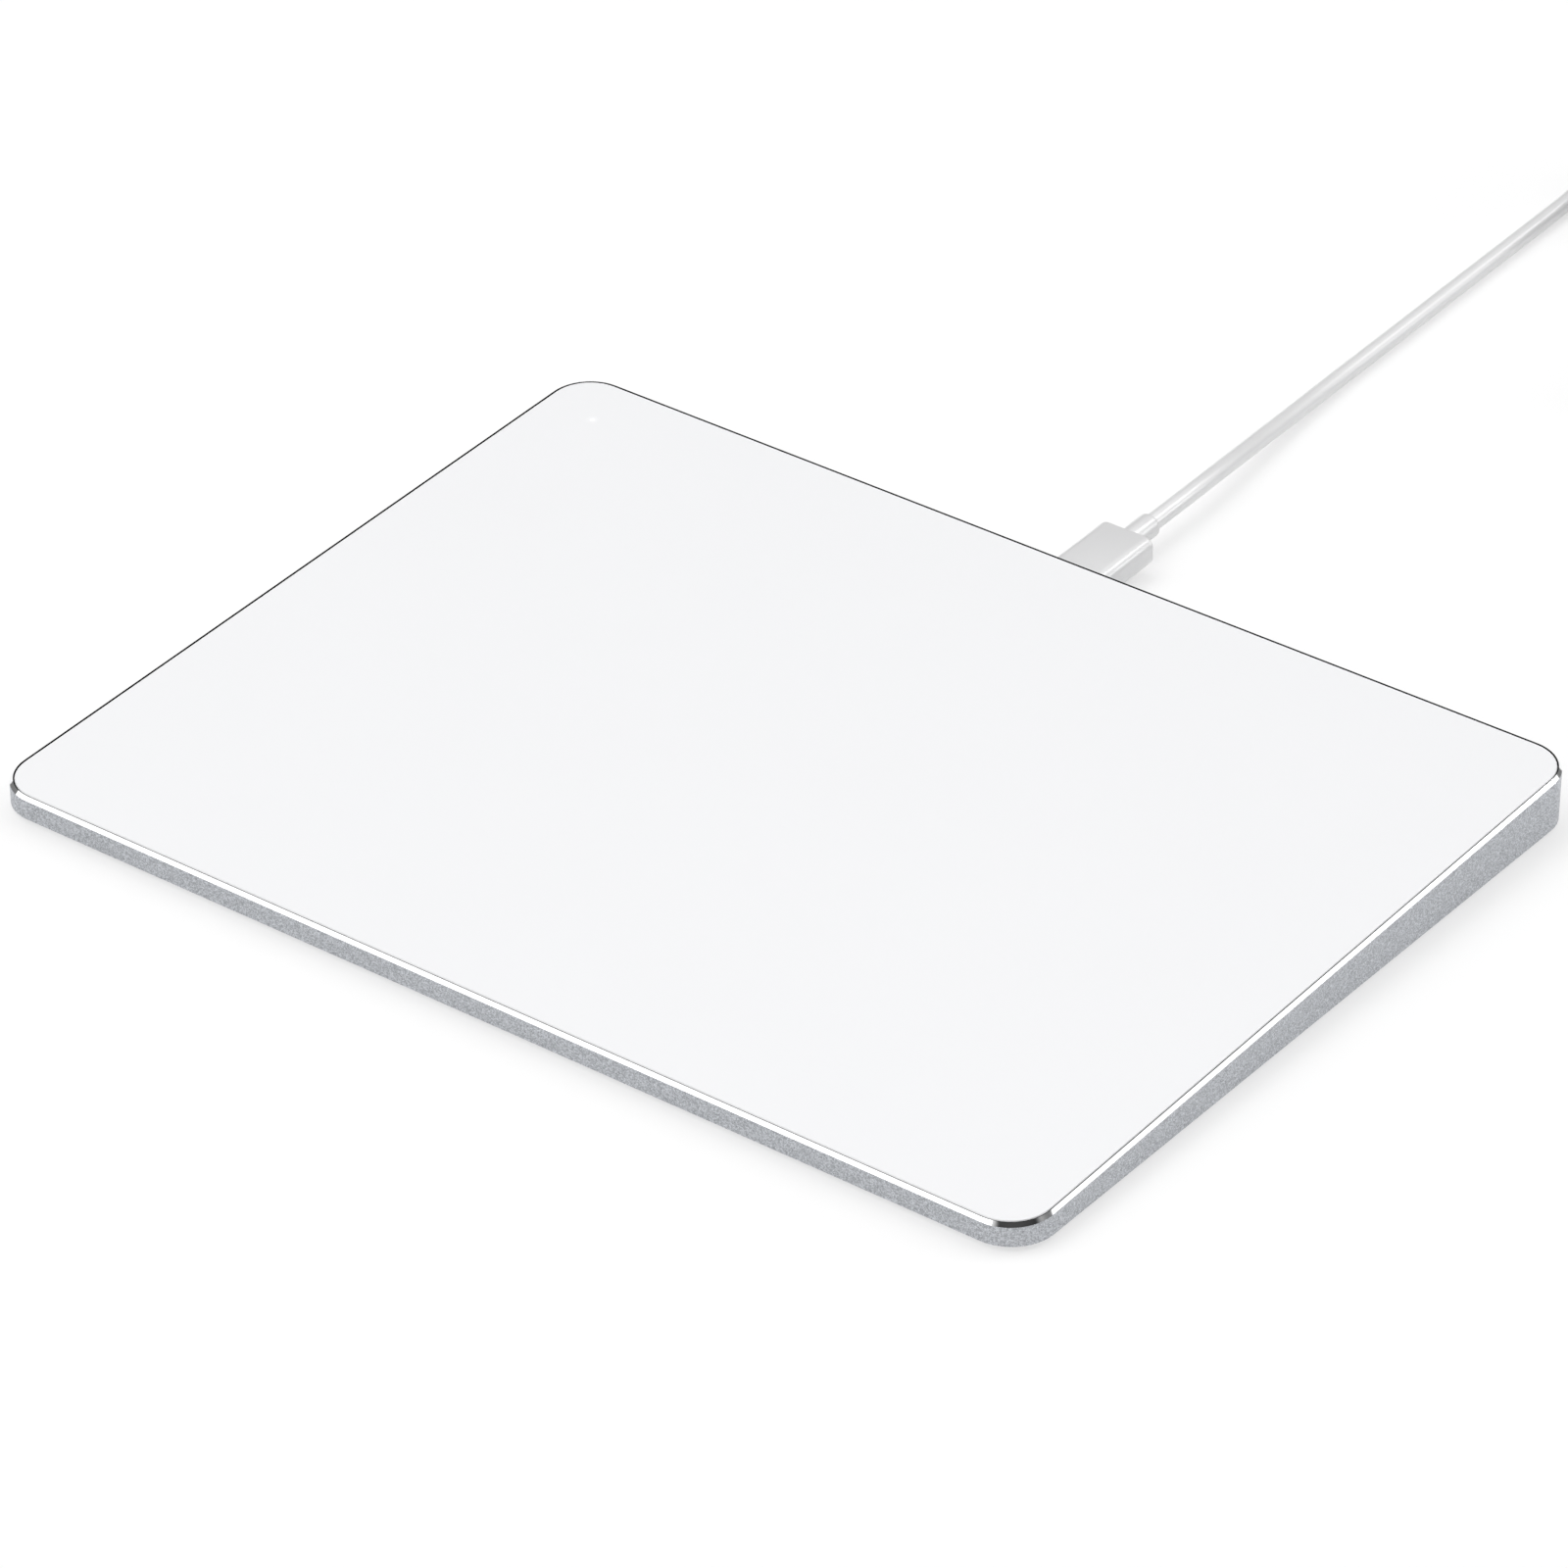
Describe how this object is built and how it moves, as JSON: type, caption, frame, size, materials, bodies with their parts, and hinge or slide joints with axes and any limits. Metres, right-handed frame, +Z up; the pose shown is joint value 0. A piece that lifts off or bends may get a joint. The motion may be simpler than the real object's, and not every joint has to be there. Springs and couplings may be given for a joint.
{
  "type": "trackpad",
  "caption": "Wedge-shaped desk trackpad with a clicking glass touch plate in a bevelled aluminium case, and a plug-in cable.",
  "frame": {"origin": "on the desk under the middle of the case, at the underside of the rubber feet", "axes": "+X to the user's right, +Y away from the user towards the thick rear edge, +Z up"},
  "size_m": [0.18, 0.3295, 0.0146],
  "materials": {
    "anodised_aluminium": "sand-blasted, with a polished bevel",
    "base_aluminium": "fine matte",
    "screw_steel": "satin",
    "foot_rubber": "matte",
    "board_laminate": "solder mask",
    "chip_resin": "matte",
    "connector_plastic": "matte",
    "flat_cable_film": "gloss",
    "shell_steel": "satin",
    "insert_plastic": "matte",
    "contact_gold": "polished",
    "spring_steel": "satin",
    "stop_silicone": "matte",
    "white_glass": "back-printed white, satin",
    "adhesive_film": "matte",
    "led_resin": "gloss",
    "pipe_acrylic": "clear, polished",
    "plunger_plastic": "gloss",
    "plug_white": "satin",
    "cable_white": "gloss",
    "tie_white": "matte"
  },
  "bodies": {
    "case": {"case_frame": "anodised_aluminium", "base_cover": "base_aluminium", "base_screws": "screw_steel", "foot_front_left": "foot_rubber", "foot_front_right": "foot_rubber", "foot_rear_left": "foot_rubber", "foot_rear_right": "foot_rubber", "main_board": "board_laminate", "board_screws": "screw_steel", "usb_chip": "chip_resin", "board_connector": "connector_plastic", "flat_cable": "flat_cable_film", "usb_c_socket_shell": "shell_steel", "usb_c_socket_tongue": "insert_plastic", "usb_c_socket_contacts": "contact_gold", "hinge_spring_left": "spring_steel", "hinge_spring_right": "spring_steel", "hinge_screws": "screw_steel", "strike_pad": "spring_steel", "stop_pads": "stop_silicone"},
    "touch_plate": {"glass_top": "white_glass", "glass_adhesive": "adhesive_film", "touch_board": "board_laminate", "carrier_plate": "spring_steel", "touch_chip": "chip_resin", "touch_connector": "connector_plastic", "status_led": "led_resin", "led_light_pipe": "pipe_acrylic", "click_switch": "chip_resin"},
    "plunger": {"switch_plunger": "plunger_plastic"},
    "usb_cable": {"usb_c_plug_shell": "shell_steel", "usb_c_plug_insert": "insert_plastic", "usb_c_plug_housing": "plug_white", "usb_c_collar": "plug_white", "cable_lead": "cable_white", "cable_coil": "cable_white", "cable_tie": "tie_white", "cable_tail": "cable_white", "usb_a_collar": "plug_white", "usb_a_housing": "plug_white", "usb_a_shell": "shell_steel", "usb_a_insert": "plug_white"}
  },
  "joints": [
    {"name": "click", "type": "hinge", "parent": "case", "child": "touch_plate", "pos_m": [0, 0.0586, 0.00645], "axis": [1, 0, 0], "range_deg": [0, 0.2076], "stiffness_Nm_per_rad": 8, "springref_deg": -1.43, "deforming": ["hinge_spring_left", "hinge_spring_right", "flat_cable"]},
    {"name": "plunger_press", "type": "slide", "parent": "touch_plate", "child": "plunger", "axis": [0, -0.0371, 0.9993], "range_m": [0, 0.00036]},
    {"name": "plug_pull", "type": "slide", "parent": "case", "child": "usb_cable", "axis": [0, 0.9993, 0.0371], "range_m": [0, 0.01]}
  ],
  "couplings": [
    {"joint": "plunger_press", "follows": "click", "m_per_rad": 0.096594}
  ]
}
